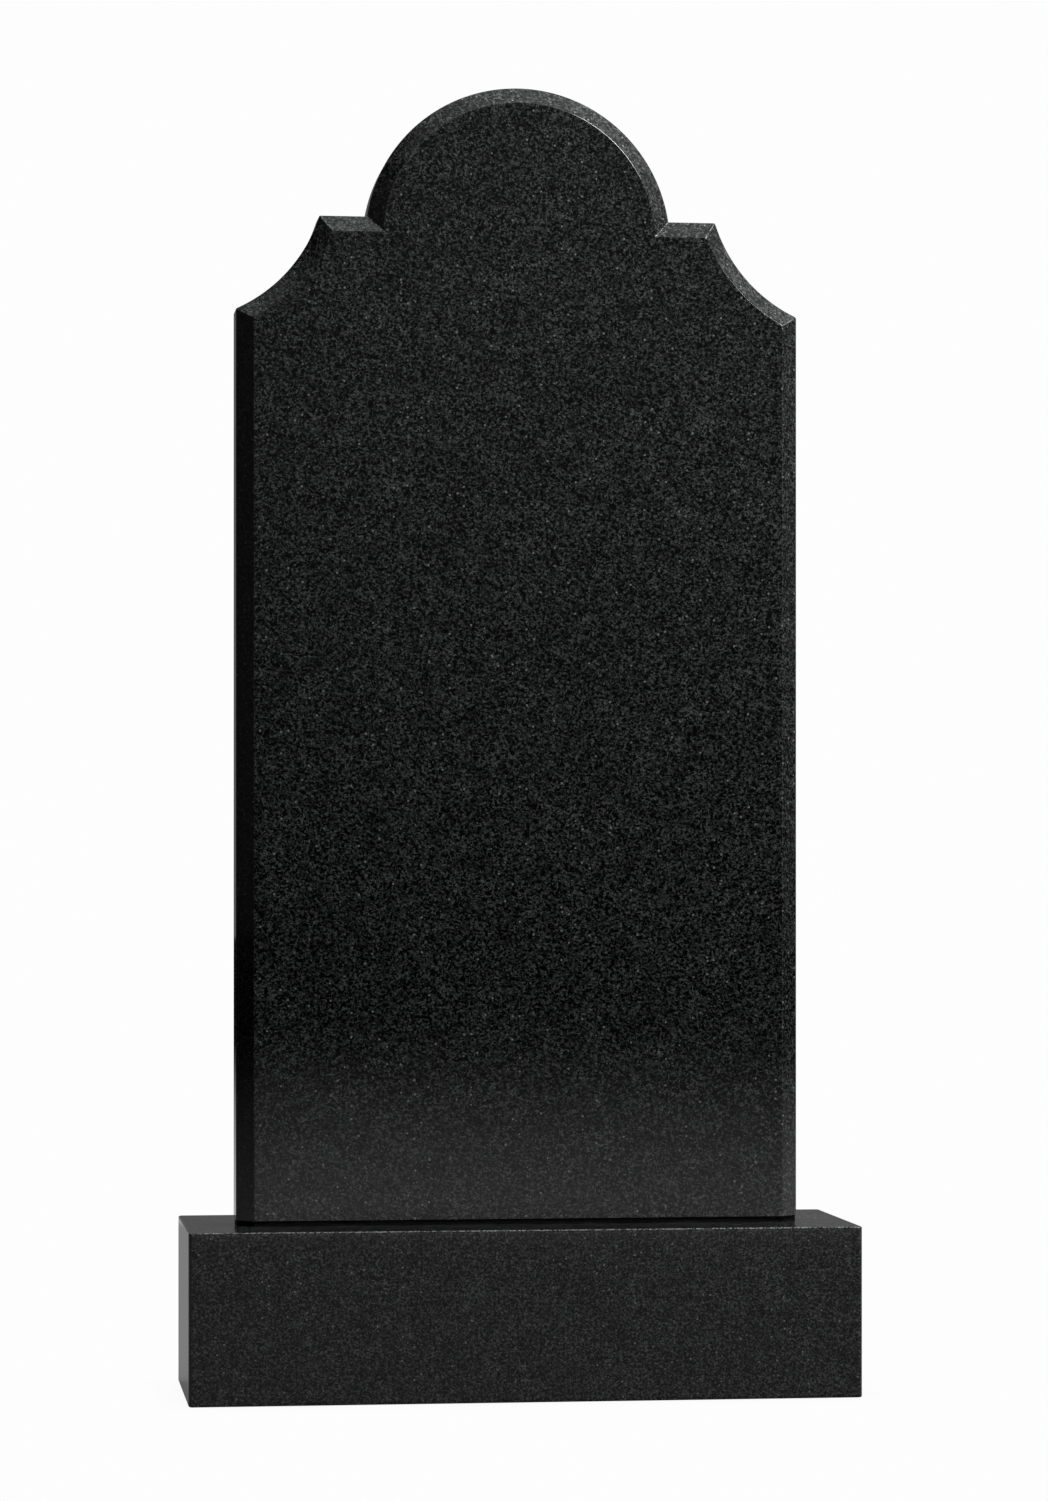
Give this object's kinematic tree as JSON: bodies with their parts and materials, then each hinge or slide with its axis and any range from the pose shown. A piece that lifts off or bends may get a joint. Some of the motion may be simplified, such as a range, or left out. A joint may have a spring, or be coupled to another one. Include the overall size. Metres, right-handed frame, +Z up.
{
  "type": "headstone",
  "caption": "Polished black granite headstone: an upright stele with an arched, hollow-shouldered head and chamfered front, bedded on a rectangular base block.",
  "frame": {"origin": "centre of the base block's underside, on the ground", "axes": "+Z up the stele, -Y towards the viewer of its polished face, +X to that viewer's right"},
  "size_m": [0.59, 0.2, 1.155],
  "materials": {
    "stele_granite": "gloss",
    "bed_resin": "matte",
    "base_granite": "gloss"
  },
  "bodies": {
    "root": {"stele": "stele_granite", "setting_bed": "bed_resin", "base_block": "base_granite"}
  },
  "joints": []
}
